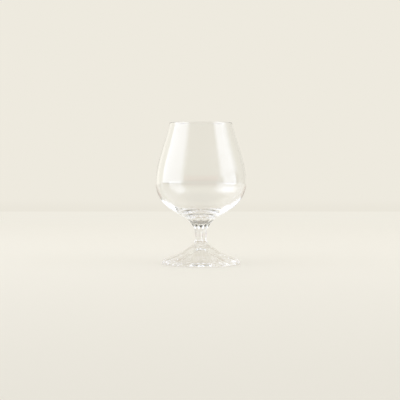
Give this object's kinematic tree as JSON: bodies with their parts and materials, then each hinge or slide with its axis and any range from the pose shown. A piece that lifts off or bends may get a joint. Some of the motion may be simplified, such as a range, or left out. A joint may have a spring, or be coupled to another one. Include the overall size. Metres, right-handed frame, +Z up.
{
  "type": "stemmed water glass",
  "caption": "Clear glass goblet for drinking, with a balloon bowl that narrows to a thin lip, a short faceted stem and a panelled bell foot that is hollow underneath.",
  "frame": {"origin": "on the glass's axis, in the plane that the foot stands on", "axes": "+Z up along the axis, towards the lip; a ridge of the stem and the foot faces -Y"},
  "size_m": [0.09, 0.09, 0.14],
  "materials": {
    "clear_glass": "clear colourless glass, fire-polished and glossy"
  },
  "bodies": {
    "root": {"bowl": "clear_glass", "stem": "clear_glass", "foot": "clear_glass"}
  },
  "joints": []
}
